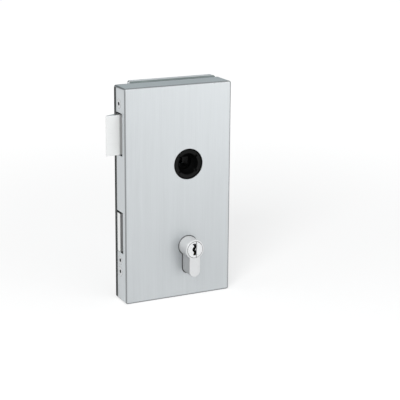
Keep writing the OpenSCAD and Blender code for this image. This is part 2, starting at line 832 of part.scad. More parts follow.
// Plug of one half: way is 1 for the front half and -1 for the rear one
module plug(face, way, pins) {
    inner = y_cam - way * plug_stop;
    groove = y_cam - way * (cam_w / 2 + clip_gap + clip_t / 2);
    key_end = y_cam - way * (cam_slot / 2 + keyway_past);
    slot_start = inner + way * past;
    slot_end = inner - way * (dog_len + clip_gap);
    slot_half = dog_w / 2 + slide_gap;
    difference() {
        union() {
            rod_span(plug_r, face, inner);
            rod_span(collar_r, face, face + way * collar_t);
        }
        mirror([(1 - way) / 2, 0, 0])
            prism(min(face - way * past, key_end), max(face - way * past, key_end))
                translate([0, z_cylinder]) keyway();
        difference() {
            rod_y(plug_r + past, groove - clip_t / 2 - running_gap,
                groove + clip_t / 2 + running_gap, 0, z_cylinder);
            rod_y(plug_r - groove_depth, groove - clip_t, groove + clip_t, 0, z_cylinder);
        }
        // Slot in the inner end that the clutch's dog enters
        block([-slot_half, min(slot_end, slot_start), z_cylinder - plug_r - past],
            [slot_half, max(slot_end, slot_start), z_cylinder + plug_r + past]);
        for (y = pins)
            rod_z(pin_bore_r, z_cylinder - plug_r - past,
                z_cylinder - key_pin_high + pin_bore_past, 0, y);
    }
}

module front_plug() {
    color([0.83, 0.85, 0.86]) plug(y_cylinder, 1, front_pins);
}

module rear_plug() {
    color([0.83, 0.85, 0.86]) plug(y_cylinder_back, -1, rear_pins);
}

module cam() {
    color([0.55, 0.56, 0.58]) prism(y_cam - cam_w / 2, y_cam + cam_w / 2)
        translate([0, z_cylinder]) difference() {
            union() {
                circle(cam_ring_r);
                intersection() {
                    translate([-nose_w / 2, -cam_r]) square([nose_w, cam_r]);
                    circle(cam_r);
                }
            }
            circle(plug_r + running_gap);
            translate([-ear_w / 2 - slide_gap, -ear_r - slide_gap])
                square([ear_w + 2 * slide_gap, ear_r]);
        }
}

module cam_clutch() {
    color([0.7, 0.6, 0.35]) {
        prism(y_cam - clutch_half, y_cam + clutch_half) translate([0, z_cylinder]) {
            circle(plug_r - slide_gap);
            translate([-ear_w / 2, -ear_r]) square([ear_w, ear_r]);
        }
        block([-dog_w / 2, y_cam - clutch_half - dog_len, z_cylinder - plug_r + dog_in],
            [dog_w / 2, y_cam - clutch_half + weld, z_cylinder + plug_r - dog_in]);
    }
}

// Retaining clip in the groove of one plug, open at the top
module circlip(way) {
    mid = y_cam - way * (cam_w / 2 + clip_gap + clip_t / 2);
    color([0.4, 0.41, 0.43]) prism(mid - clip_t / 2, mid + clip_t / 2)
        translate([0, z_cylinder]) difference() {
            circle(plug_r + clip_rise);
            circle(plug_r - groove_depth + running_gap);
            translate([-clip_mouth / 2, 0]) square([clip_mouth, plug_r + clip_rise + past]);
        }
}

module front_circlip() {
    circlip(1);
}

module rear_circlip() {
    circlip(-1);
}

// Key pins, with pointed ends towards the keyway
module key_pins(pins) {
    shoulder = z_cylinder - key_pin_high - key_pin_point;
    color([0.78, 0.66, 0.32]) for (y = pins) {
        rod_z(pin_r, z_cylinder - key_pin_low, shoulder, 0, y);
        translate([0, y, shoulder]) cylinder(r1 = pin_r, r2 = pin_r / 3, h = key_pin_point);
    }
}

module front_key_pins() {
    key_pins(front_pins);
}

module rear_key_pins() {
    key_pins(rear_pins);
}

module driver_pins(pins) {
    color([0.78, 0.66, 0.32]) for (y = pins)
        rod_z(pin_r, z_cylinder - driver_high - driver_len, z_cylinder - driver_high, 0, y);
}

module front_driver_pins() {
    driver_pins(front_pins);
}

module rear_driver_pins() {
    driver_pins(rear_pins);
}

module pin_springs(pins) {
    high = driver_high + driver_len + slide_gap;
    color([0.45, 0.46, 0.48]) for (y = pins)
        translate([0, y, z_cylinder - pin_spring_low])
            coil_spring(pin_spring_low - high, pin_r - 2 * pin_wire_r, pin_wire_r,
                turns = 5, steps = 8, sides = 5);
}

module front_pin_springs() {
    pin_springs(front_pins);
}

module rear_pin_springs() {
    pin_springs(rear_pins);
}

module pin_bore_plugs() {
    color([0.78, 0.66, 0.32]) for (y = concat(front_pins, rear_pins))
        rod_z(pin_bore_r - running_gap, z_cylinder - bore_plug_drop,
            z_cylinder - pin_spring_low - slide_gap, 0, y);
}

case_cover();
base_plate();
case_gasket();
lock_plate();
lock_plate_screws();
cover_screws();
cylinder_screw();
latch_bolt();
latch_rod();
latch_spring();
follower();
follower_spring();
dead_bolt();
detent_spring();
front_bush();
clamp_sleeves();
clamp_screws();
counter_gasket();
counter_plate();
counter_cover();
counter_grub_screws();
rear_bush();
cylinder_body();
front_plug();
rear_plug();
cam();
cam_clutch();
front_circlip();
rear_circlip();
front_key_pins();
rear_key_pins();
front_driver_pins();
rear_driver_pins();
front_pin_springs();
rear_pin_springs();
pin_bore_plugs();
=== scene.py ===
import json
from math import cos, pi, radians, sin

import bmesh
import bpy
from mathutils import Matrix, Quaternion, Vector


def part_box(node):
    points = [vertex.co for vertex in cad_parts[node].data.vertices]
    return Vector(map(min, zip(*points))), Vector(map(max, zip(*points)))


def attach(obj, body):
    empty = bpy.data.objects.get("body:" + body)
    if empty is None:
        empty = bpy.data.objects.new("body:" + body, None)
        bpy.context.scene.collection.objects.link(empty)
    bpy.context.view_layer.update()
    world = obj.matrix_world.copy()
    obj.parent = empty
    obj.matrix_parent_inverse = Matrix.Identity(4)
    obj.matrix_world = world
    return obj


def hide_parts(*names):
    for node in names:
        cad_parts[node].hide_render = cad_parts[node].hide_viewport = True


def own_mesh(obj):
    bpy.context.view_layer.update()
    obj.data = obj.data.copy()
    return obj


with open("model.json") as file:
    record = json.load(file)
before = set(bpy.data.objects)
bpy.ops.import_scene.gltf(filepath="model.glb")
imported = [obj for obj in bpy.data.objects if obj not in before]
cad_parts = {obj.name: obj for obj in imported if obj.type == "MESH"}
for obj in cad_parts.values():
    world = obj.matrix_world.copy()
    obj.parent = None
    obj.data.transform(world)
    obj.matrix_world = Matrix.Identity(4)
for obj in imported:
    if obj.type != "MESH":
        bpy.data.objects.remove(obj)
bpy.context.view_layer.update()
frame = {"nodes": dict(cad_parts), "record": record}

MM = 0.001
WELD = 0.001 * MM
ON_PLANE = 0.02 * MM

# Places that the pieces share, taken from the frame
cover_low, cover_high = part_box("case_cover")
counter_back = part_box("counter_cover")[1].y
plug_low, plug_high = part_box("front_plug")
cylinder_z = (plug_low.z + plug_high.z) / 2

# The body that carries each node
BODY = {
    node: body
    for body, nodes in frame["record"]["behaviour"]["bodies"].items()
    for node in nodes
}


# Materials

# The band that most of a noise's values lie in, and how close the pores of sintered steel are
NOISE_LOW, NOISE_HIGH = 0.25, 0.75
PORES_A_METRE = 3200


def grey(level, tint=(1, 1, 1)):
    """A linear colour of one level, with a tint."""
    return tuple(level * t for t in tint) + (1,)


def add_node(tree, kind, settings=None, **inputs):
    """A node with its settings and its input values or links. The input called _2 is the third one."""
    node = tree.nodes.new("ShaderNode" + kind)
    for key, value in (settings or {}).items():
        setattr(node, key, value)
    for key, value in inputs.items():
        socket = node.inputs[int(key[1:])] if key[0] == "_" else node.inputs[key.replace("_", " ")]
        if isinstance(value, bpy.types.NodeSocket):
            tree.links.new(value, socket)
        else:
            socket.default_value = value
    return node


class Finish:
    """A procedural material on Object coordinates, built up a layer at a time."""

    def __init__(self, name, colour, metallic, roughness, gloss=0.5):
        self.material = bpy.data.materials.new(name)
        self.material.use_nodes = True
        self.tree = self.material.node_tree
        self.shader = self.tree.nodes["Principled BSDF"]
        self.shader.inputs["Metallic"].default_value = metallic
        self.shader.inputs["Specular IOR Level"].default_value = gloss
        self.colour = colour
        self.roughness = roughness
        self.tints = []
        self.place = self.add("TexCoord").outputs["Object"]
        self.normal = None

    def add(self, kind, settings=None, **inputs):
        """A node of this material."""
        return add_node(self.tree, kind, settings, **inputs)

    def grain(self, size_mm, detail=3):
        """Noise whose marks have these sizes in millimetres along X, Y and Z."""
        mapping = self.add("Mapping", Vector=self.place, Scale=[1 / (s * MM) for s in size_mm])
        noise = self.add("TexNoise", Vector=mapping.outputs[0], Scale=1.0, Detail=detail, Roughness=0.6)
        return noise.outputs["Fac"]

    def rings(self, width_mm, centre):
        """Fine turned rings about an axis along Y through a centre."""
        moved = self.add("Mapping", Vector=self.place, Location=[-c for c in centre])
        flat = self.add("VectorMath", {"operation": "MULTIPLY"}, _0=moved.outputs[0], _1=(1, 0, 1))
        radius = self.add("VectorMath", {"operation": "LENGTH"}, _0=flat.outputs[0]).outputs["Value"]
        depth = self.add("SeparateXYZ", Vector=self.place).outputs["Y"]
        line = self.add("CombineXYZ", X=radius, Y=depth)
        mapping = self.add("Mapping", Vector=line.outputs[0], Scale=[1 / (width_mm * MM)] * 3)
        noise = self.add("TexNoise", Vector=mapping.outputs[0], Scale=1.0, Detail=2.0)
        return noise.outputs["Fac"]

    def slope(self, axis, start, end):
        """A pattern that rises evenly along an axis from one place to another."""
        along = self.add("SeparateXYZ", Vector=self.place).outputs[axis]
        ramp = self.add("MapRange", Value=along, _1=start, _2=end, _3=NOISE_LOW, _4=NOISE_HIGH)
        return ramp.outputs[0]

    def spread(self, pattern, low, high):
        """A pattern's band, spread between two values."""
        ramp = self.add("MapRange", Value=pattern, _1=NOISE_LOW, _2=NOISE_HIGH, _3=low, _4=high)
        return ramp.outputs[0]

    def tint(self, pattern, amount):
        """The colour varies with a pattern by this share, up and down."""
        self.tints.append((pattern, amount))
        return self

    def shine(self, pattern, amount):
        """The roughness varies with a pattern by this much, up and down."""
        spread = self.spread(pattern, self.roughness - amount, self.roughness + amount)
        self.tree.links.new(spread, self.shader.inputs["Roughness"])
        return self

    def relief(self, pattern, depth_mm):
        """The surface stands up with a pattern by this height."""
        bump = self.add("Bump", Height=pattern, Distance=depth_mm * MM, Strength=1.0)
        self.normal = bump.outputs[0]
        return self

    def done(self):
        """Joins the layers to the shader and gives the material."""
        colour = self.colour[:3]
        for pattern, amount in self.tints:
            level = self.spread(pattern, 1 - amount, 1 + amount)
            colour = self.add("VectorMath", {"operation": "SCALE"}, _0=colour, Scale=level).outputs[0]
        self.tree.links.new(colour, self.shader.inputs["Base Color"])
        self.tree.links.new(self.normal, self.shader.inputs["Normal"])
        return self.material


def brushed_sheet(name, along, level):
    """Stainless sheet with a fine straight grain along one axis."""
    def drawn_out(width, length):
        return [length if axis == along else width for axis in "XYZ"]
    made = Finish(name, grey(level, (0.955, 1.0, 1.025)), metallic=0.9, roughness=0.44)
    fine = made.grain(drawn_out(width=0.22, length=30), detail=2)
    broad = made.grain(drawn_out(width=2.6, length=150), detail=4)
    cloud = made.grain((45, 45, 70), detail=1)
    made.tint(fine, 0.05).tint(broad, 0.02).tint(cloud, 0.012)
    made.shine(fine, 0.06).relief(fine, 0.004)
    return made.done()


def satin_nickel(name, level, roughness, metallic, painted_light_share=0.0, tip_x=0.0, root_x=0.0):
    """Nickel plate over a ground bar, with faint grinding marks, and where asked painted light that makes
    it lighter towards its root and darker towards its tip.
    """
    made = Finish(name, grey(level, (0.985, 1.0, 0.995)), metallic, roughness)
    if painted_light_share:
        made.tint(made.slope("X", tip_x, root_x), painted_light_share)
    marks = made.grain((18, 0.3, 0.18), detail=2)
    cloud = made.grain((9, 9, 14), detail=2)
    return made.tint(marks, 0.025).tint(cloud, 0.015).shine(marks, 0.05).relief(marks, 0.003).done()


def polished_nickel(name, level, roughness, metallic):
    """Bright nickel plate over brass turned about the cylinder's axis."""
    made = Finish(name, grey(level, (0.985, 1.0, 1.01)), metallic, roughness)
    turned_marks = made.rings(width_mm=0.12, centre=(0, 0, cylinder_z))
    cloud = made.grain((5, 9, 5), detail=2)
    made.tint(turned_marks, 0.015).tint(cloud, 0.02)
    return made.shine(cloud, 0.03).relief(turned_marks, 0.0015).done()


def moulded(name, level, roughness, gloss=0.12):
    """Black moulded plastic with a fine spark-eroded texture."""
    made = Finish(name, grey(level, (0.95, 1.0, 1.0)), metallic=0.0, roughness=roughness, gloss=gloss)
    spark = made.grain((0.18, 0.18, 0.18), detail=3)
    return made.tint(spark, 0.15).shine(spark, 0.07).relief(spark, 0.012).done()


def rubber_sheet(name, level):
    """Rubber sheet with the dull skin of calendered stock."""
    made = Finish(name, grey(level, (0.85, 1.0, 1.0)), metallic=0.0, roughness=0.72, gloss=0.15)
    skin = made.grain((0.35, 0.35, 0.35), detail=4)
    cloud = made.grain((6, 6, 6), detail=2)
    return made.tint(skin, 0.15).tint(cloud, 0.12).shine(cloud, 0.06).relief(skin, 0.015).done()


def painted_plate(name):
    """Dark powder coat with a slight orange peel."""
    made = Finish(name, grey(0.02, (0.8, 1.0, 1.0)), metallic=0.0, roughness=0.42, gloss=0.2)
    peel = made.grain((1.1, 1.1, 1.1), detail=2)
    fleck = made.grain((0.25, 0.25, 0.25), detail=2)
    return made.tint(fleck, 0.12).shine(peel, 0.06).relief(peel, 0.02).done()


def zinc_plate(name):
    """Bright zinc plate over rolled steel, clouded as plating is."""
    made = Finish(name, grey(0.5, (0.97, 1.0, 1.04)), metallic=0.9, roughness=0.4)
    cloud = made.grain((12, 12, 12), detail=4)
    rolled = made.grain((0.3, 0.3, 25), detail=2)
    return made.tint(cloud, 0.08).tint(rolled, 0.03).shine(cloud, 0.08).relief(rolled, 0.004).done()


def sintered_steel(name, level, metallic, gloss):
    """Pressed and sintered steel with open pores."""
    made = Finish(name, grey(level, (1.0, 0.99, 0.97)), metallic, roughness=0.5, gloss=gloss)
    pores = made.add("TexVoronoi", Vector=made.place, Scale=PORES_A_METRE).outputs["Distance"]
    cloud = made.grain((3, 3, 3), detail=3)
    return made.tint(cloud, 0.12).tint(pores, 0.1).shine(cloud, 0.06).relief(pores, 0.02).done()


def plain_metal(name, colour, roughness, marks_mm, metallic=0.95, gloss=0.5):
    """Drawn or turned metal with marks of a size along each axis."""
    made = Finish(name, colour, metallic, roughness, gloss)
    marks = made.grain(marks_mm, detail=2)
    cloud = made.grain((4, 4, 4), detail=2)
    return made.tint(marks, 0.05).tint(cloud, 0.04).shine(marks, 0.06).relief(marks, 0.004).done()


# Painted light: the same stainless at a brighter level on the side walls and flanges than on the front
STAINLESS_UPRIGHT = brushed_sheet("stainless_grain_upright", "Z", 0.57)
STAINLESS_WALL_PAINTED_LIGHT = brushed_sheet("stainless_grain_side_wall_painted_light", "Z", 0.63)
STAINLESS_FLANGE_PAINTED_LIGHT = brushed_sheet("stainless_grain_over_flange_painted_light", "Y", 0.64)
# Painted shade: a dark copy of the stainless for the rounded edges, so they read as dark lines
STAINLESS_PAINTED_SHADE_EDGE = brushed_sheet("stainless_edge_painted_shade", "Z", 0.28)

# Painted light: the latch's nose is lighter towards the case and darker at its tip, to even out the shade
# by the forend
LATCH_NICKEL = satin_nickel("satin_nickel_latch", level=0.94, roughness=0.5, metallic=0.08,
                            painted_light_share=0.06, tip_x=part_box("latch_bolt")[0].x, root_x=cover_low.x)
LATCH_FLANK = satin_nickel("ground_nickel_latch_flank", level=0.8, roughness=0.36, metallic=0.95)
# Painted shade: the latch's body, seen only through the slot, is darkened
LATCH_BODY_SHADE = satin_nickel("latch_body_painted_shade", level=0.62, roughness=0.4, metallic=0.3)
BOLT_NICKEL = satin_nickel("satin_nickel_dead_bolt", level=0.86, roughness=0.34, metallic=0.75)
# Painted shade: the dead bolt's top and bottom, darker than its plate
BOLT_FLANK_SHADE = satin_nickel("bolt_flank_painted_shade", level=0.5, roughness=0.32, metallic=0.95)

CYLINDER_NICKEL = polished_nickel("bright_nickel_cylinder", level=0.76, roughness=0.34, metallic=0.3)
# Painted light and shade: one nickel, brighter on the head and darker on the leg's flanks
HEAD_NICKEL_LIT = polished_nickel("nickel_head_painted_light", level=0.6, roughness=0.45, metallic=0.0)
FLANK_NICKEL_SHADED = polished_nickel("nickel_flank_painted_shade", level=0.46, roughness=0.36, metallic=0.3)
PLUG_NICKEL = polished_nickel("bright_nickel_plug", level=0.86, roughness=0.28, metallic=0.3)

# Painted shade: the keyway's walls and mouth are near black, made with the moulded shader
KEYWAY_SHADE = moulded("keyway_painted_shade", level=0.002, roughness=0.6, gloss=0.02)
# Painted shade: the plug's broken rim and the groove beside its keyway
RIM_SHADE = moulded("plug_rim_painted_shade", level=0.1, roughness=0.5)
# Painted shade: the cylinder's flanks inside the case, near black
INNER_FLANK_SHADE = moulded("cylinder_flank_painted_shade", level=0.05, roughness=0.5)
BUSH_PLASTIC = moulded("black_bush_plastic", level=0.003, roughness=0.5)
BUSH_LIP = moulded("black_bush_lip", level=0.0015, roughness=0.3, gloss=0.03)
# Painted shade: a duller copy of the bush plastic for the bore
BUSH_BORE_SHADE = moulded("bush_bore_painted_shade", level=0.003, roughness=0.7, gloss=0.03)
GASKET_RUBBER = rubber_sheet("black_gasket_rubber", 0.012)
COUNTER_RUBBER = rubber_sheet("pale_gasket_rubber", 0.35)
DARK_PLATE = painted_plate("dark_plate_coat")
ZINC = zinc_plate("zinc_plated_steel")
# Painted shade: the follower is near black so the lever's bore reads dark
FOLLOWER_SHADED_STEEL = sintered_steel("follower_steel_painted_shade", level=0.002, metallic=0.1, gloss=0.03)
CAM_STEEL = sintered_steel("sintered_cam_steel", level=0.3, metallic=0.85, gloss=0.5)

# Painted shade: near black for the screws' sockets and rim chamfers
SOCKET_SHADE = plain_metal("screw_socket_painted_shade", grey(0.002), roughness=0.6,
                           marks_mm=(0.3, 0.3, 0.3), metallic=0, gloss=0.03)
PIN_BRASS = plain_metal("turned_pin_brass", grey(0.72, (1.0, 0.78, 0.42)), roughness=0.28,
                        marks_mm=(0.5, 0.5, 0.12))
SPRING_STEEL = plain_metal("drawn_spring_wire", grey(0.4, (1.0, 1.0, 1.03)), roughness=0.3,
                           marks_mm=(0.15, 0.15, 0.15))
SCREW_STEEL = plain_metal("plated_screw_steel", grey(0.6, (0.98, 1.0, 1.02)), roughness=0.3,
                          marks_mm=(0.3, 0.3, 0.3))
SLEEVE_ALUMINIUM = plain_metal("turned_sleeve_aluminium", grey(0.75, (1.0, 1.0, 0.99)), roughness=0.34,
                               marks_mm=(6, 0.15, 6))

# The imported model's own pieces that are shown as they are
NODE_FINISH = {
    "base_plate": DARK_PLATE, "case_gasket": GASKET_RUBBER, "lock_plate": ZINC,
    "lock_plate_screws": SCREW_STEEL, "latch_rod": SCREW_STEEL, "follower": FOLLOWER_SHADED_STEEL,
    "detent_spring": SPRING_STEEL, "clamp_sleeves": SLEEVE_ALUMINIUM, "clamp_screws": SCREW_STEEL,
    "counter_gasket": COUNTER_RUBBER, "counter_plate": ZINC, "counter_grub_screws": SCREW_STEEL,
    "cam": CAM_STEEL, "cam_clutch": PIN_BRASS, "front_circlip": SPRING_STEEL,
    "rear_circlip": SPRING_STEEL, "front_key_pins": PIN_BRASS, "rear_key_pins": PIN_BRASS,
    "front_driver_pins": PIN_BRASS, "rear_driver_pins": PIN_BRASS, "front_pin_springs": SPRING_STEEL,
    "rear_pin_springs": SPRING_STEEL, "pin_bore_plugs": PIN_BRASS,
}
for node, finish in NODE_FINISH.items():
    mesh = frame["nodes"][node].data
    mesh.materials.clear()
    mesh.materials.append(finish)


# Tools for the shapes

# How far a face's normal leans to an axis: less on a wall along it, then where it looks mostly
# that way, and where it is square to it
WALL = 0.3
FACING = 0.7
SQUARE = 0.95

# Faces that turn less than this are made one, and flat faces keep their shading with this weight
FLAT_WITHIN = radians(0.6)
FLAT_FACE_WEIGHT = 80

# Which way depth runs into a piece along Y, from a face on the near side and on the far side
NEAR, FAR = 1, -1


def merged(node):
    """A bmesh of a CAD node, its loose triangles joined and its flat faces made whole."""
    shape = bmesh.new()
    shape.from_mesh(frame["nodes"][node].data)
    bmesh.ops.remove_doubles(shape, verts=shape.verts, dist=2 * WELD)
    bmesh.ops.dissolve_limit(shape, angle_limit=FLAT_WITHIN, verts=shape.verts, edges=shape.edges)
    return shape


def middle(edge):
    """The middle of an edge."""
    return (edge.verts[0].co + edge.verts[1].co) / 2


def near_axis(point, radius_mm):
    """Whether a point lies within a radius of the cylinder's axis."""
    return Vector((point.x, 0, point.z - cylinder_z)).length < radius_mm * MM


def soften(shape, width_mm, segments, where, sharper_than=32):
    """Rounds the arrises that a test picks, if they are sharper than an angle in degrees."""
    picked = [
        e for e in shape.edges
        if len(e.link_faces) == 2 and e.calc_face_angle() > radians(sharper_than) and where(e)
    ]
    bmesh.ops.bevel(shape, geom=picked, offset=width_mm * MM, offset_type="OFFSET", segments=segments,
                    profile=0.5, affect="EDGES", clamp_overlap=False, material=-1)


def split(shape, place, normal):
    """Divides a shape's faces where a plane crosses them."""
    whole = shape.verts[:] + shape.edges[:] + shape.faces[:]
    bmesh.ops.bisect_plane(shape, geom=whole, dist=WELD, plane_co=place, plane_no=normal)


def as_object(name, shape):
    """Makes a shape an object of the scene."""
    mesh = bpy.data.meshes.new(name)
    shape.to_mesh(mesh)
    shape.free()
    made = bpy.data.objects.new(name, mesh)
    bpy.context.scene.collection.objects.link(made)
    return made


def block_cutter(blocks):
    """Blocks to cut with, each a low and a high corner and a turn about the Y axis."""
    made = bmesh.new()
    for low, high, turn in blocks:
        corners = bmesh.ops.create_cube(made, size=1)["verts"]
        bmesh.ops.scale(made, vec=high - low, verts=corners)
        bmesh.ops.translate(made, vec=(low + high) / 2, verts=corners)
        bmesh.ops.rotate(made, cent=(0, 0, 0), matrix=Matrix.Rotation(turn, 3, "Y"), verts=corners)
    return made


def cut(shape, blocks):
    """Takes blocks out of a shape."""
    body, tool = as_object("cut_body", shape), as_object("cut_tool", block_cutter(blocks))
    carve = body.modifiers.new("cut", "BOOLEAN")
    carve.operation, carve.solver, carve.object = "DIFFERENCE", "EXACT", tool
    left = bmesh.new()
    left.from_object(body, bpy.context.evaluated_depsgraph_get())
    for spare in (body, tool):
        mesh = spare.data
        bpy.data.objects.remove(spare)
        bpy.data.meshes.remove(mesh)
    return left


def piece(name, shape, finishes, node, finish_of=None):
    """Makes a shape the shown piece that stands for a CAD node, on that node's body."""
    for face in shape.faces:
        face.material_index = finishes.index(finish_of(face)) if finish_of else 0
    made = as_object(name, shape)
    made.data.shade_smooth()
    for finish in finishes:
        made.data.materials.append(finish)
    normals = made.modifiers.new("flat faces stay flat", "WEIGHTED_NORMAL")
    normals.keep_sharp = False
    normals.weight = FLAT_FACE_WEIGHT
    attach(made, BODY[node])
    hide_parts(node)
    return made


# Covers

# Widths of the arrises in millimetres
SHEET_ROUND = 1.3
OPENING_BREAK = 0.5
SHEET_BURR = 0.12

# How far the outline's round corners reach in, and the cylinder's opening reaches from its axis
CORNER_REACH = 2.1 * MM
OPENING_HALF_WIDTH = 10 * MM
OPENING_ABOVE = 10 * MM
OPENING_BELOW = 27 * MM

# How far a normal leans forward on the flat front, beside a round that has painted shade over its whole
# width (the right and bottom ones), beside the forend's wall and below the top, where a bright strip is
# left, and how far it leans on the rounds themselves
FRONT_BESIDE_WHOLE = 0.995
FRONT_BESIDE_WALL = 0.96
FRONT_BELOW_TOP = 0.88
LEANING = 0.1
MITRE_LEAN = 0.45


def sheet_finish(face):
    """The finish of a face of a folded sheet: rounded edge in painted shade, flange, side wall or front,
    the flange and side wall brighter as painted light.
    """
    across, along, up = abs(face.normal.x), abs(face.normal.y), abs(face.normal.z)
    on_shaded_round = face.normal.x > LEANING or face.normal.z < -LEANING
    beside_sheet = FRONT_BESIDE_WALL if across > up else FRONT_BELOW_TOP
    front_from = FRONT_BESIDE_WHOLE if on_shaded_round else beside_sheet
    mitre = min(across, up) > MITRE_LEAN
    # Painted shade: the rounds and corner mitres take the dark edge finish, the right and bottom rounds
    # over their whole width
    if LEANING < along < front_from or mitre:
        return STAINLESS_PAINTED_SHADE_EDGE
    if up > FACING:
        return STAINLESS_FLANGE_PAINTED_LIGHT
    return STAINLESS_WALL_PAINTED_LIGHT if across > FACING else STAINLESS_UPRIGHT


def sheet_cover(name, node, face_y):
    """A folded sheet cover with soft arrises in painted shade, and the grain turned over its top and
    bottom flanges.
    """
    shape = merged(node)
    low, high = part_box(node)

    def on_face(edge):
        """An edge of the outside face."""
        return abs(middle(edge).y - face_y) < ON_PLANE

    def on_outline(edge):
        """An arris of the outside face, on its outline."""
        at = middle(edge)
        inwards = min(at.x - low.x, high.x - at.x, at.z - low.z, high.z - at.z)
        return inwards < CORNER_REACH and on_face(edge)

    def on_opening(edge):
        """The front edge of the opening for the cylinder."""
        at = middle(edge)
        level = -OPENING_BELOW < at.z - cylinder_z < OPENING_ABOVE
        return level and abs(at.x) < OPENING_HALF_WIDTH and on_face(edge)

    soften(shape, SHEET_ROUND, segments=5, where=on_outline)
    soften(shape, OPENING_BREAK, segments=2, where=on_opening)
    soften(shape, SHEET_BURR, segments=2, where=on_face)
    finishes = [STAINLESS_UPRIGHT, STAINLESS_FLANGE_PAINTED_LIGHT, STAINLESS_PAINTED_SHADE_EDGE, STAINLESS_WALL_PAINTED_LIGHT]
    piece(name, shape, finishes, node, sheet_finish)


sheet_cover("cover_sheet", "case_cover", cover_low.y)
sheet_cover("counter_cover_sheet", "counter_cover", counter_back)


# Bolts

# Widths of the arrises in millimetres, and how far inside the forend the painted shade on the latch's body
# begins
BOLT_ARRIS = 0.2
LATCH_ARRIS = 0.25
LATCH_SHADE_FROM = 0.4 * MM


def dead_bolt():
    """The dead bolt, its arrises broken and its top and bottom darkened as painted shade."""
    shape = merged("dead_bolt")
    soften(shape, BOLT_ARRIS, segments=2, where=lambda edge: True)

    def finish(face):
        return BOLT_FLANK_SHADE if abs(face.normal.z) > FACING else BOLT_NICKEL

    piece("dead_bolt_ground", shape, [BOLT_NICKEL, BOLT_FLANK_SHADE], "dead_bolt", finish)


def latch():
    """The latch: a plated nose with ground flanks, and a body inside the case darkened as painted shade.
    """
    shape = merged("latch_bolt")
    soften(shape, LATCH_ARRIS, segments=2, where=lambda edge: True)
    body_from = cover_low.x + LATCH_SHADE_FROM
    split(shape, (body_from, 0, 0), (1, 0, 0))

    def finish(face):
        # Painted shade beyond the forend's plane
        if face.calc_center_median().x > body_from:
            return LATCH_BODY_SHADE
        return LATCH_FLANK if abs(face.normal.z) > FACING else LATCH_NICKEL

    finishes = [LATCH_NICKEL, LATCH_FLANK, LATCH_BODY_SHADE]
    piece("latch_ground", shape, finishes, "latch_bolt", finish)


dead_bolt()
latch()


# Profile cylinder

# Radii about its axis, the head's lower end and the widths of its arrises, in millimetres
PLUG_BORE_REACH = 7.8
PLUG_RIM_FROM = 6.9
KEYWAY_REACH = 6.0
HEAD_BELOW_AXIS = 6.5
END_CHAMFER = 0.6
PLUG_RIM_BREAK = 0.35
KEYWAY_CORNER = 0.4
KEYWAY_BREAK = 0.5

# The keyway's mouth, and the groove beside it
MOUTH_DEPTH = 1.2 * MM
GROOVE_OFFSET = 1.15 * MM
GROOVE_HALF_WIDTH = 0.3 * MM
GROOVE_HALF_LENGTH = 8 * MM
GROOVE_DEPTH = 0.45 * MM
GROOVE_SIDE = 0.1 * MM

# How far inside the covers' planes the painted shade on the cylinder begins
INSIDE_SHADE_FROM = 0.05 * MM


def profile_cylinder():
    """The cylinder's body: chamfered ends, a head made bright and flanks made duller as painted light and
    shade, and painted shade inside the case.
    """
    shape = merged("cylinder_body")
    low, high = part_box("cylinder_body")
    inside_from, inside_to = cover_low.y + INSIDE_SHADE_FROM, counter_back - INSIDE_SHADE_FROM

    def end_outline(edge):
        """An outer edge of an end face."""
        at = middle(edge)
        on_end = min(abs(at.y - low.y), abs(at.y - high.y)) < ON_PLANE
        return on_end and not near_axis(at, PLUG_BORE_REACH)

    def finish(face):
        at = face.calc_center_median()
        if abs(face.normal.y) >= WALL:
            return CYLINDER_NICKEL
        # Painted shade: the flanks inside the case
        if inside_from < at.y < inside_to:
            return INNER_FLANK_SHADE
        # Painted light and shade: the head above this height is bright, the leg below it dull
        return HEAD_NICKEL_LIT if at.z > cylinder_z - HEAD_BELOW_AXIS * MM else FLANK_NICKEL_SHADED

    soften(shape, END_CHAMFER, segments=3, where=end_outline, sharper_than=50)
    for depth in (inside_from, inside_to):
        split(shape, (0, depth, 0), (0, 1, 0))
    finishes = [CYLINDER_NICKEL, HEAD_NICKEL_LIT, FLANK_NICKEL_SHADED, INNER_FLANK_SHADE]
    piece("cylinder_profile_body", shape, finishes, "cylinder_body", finish)


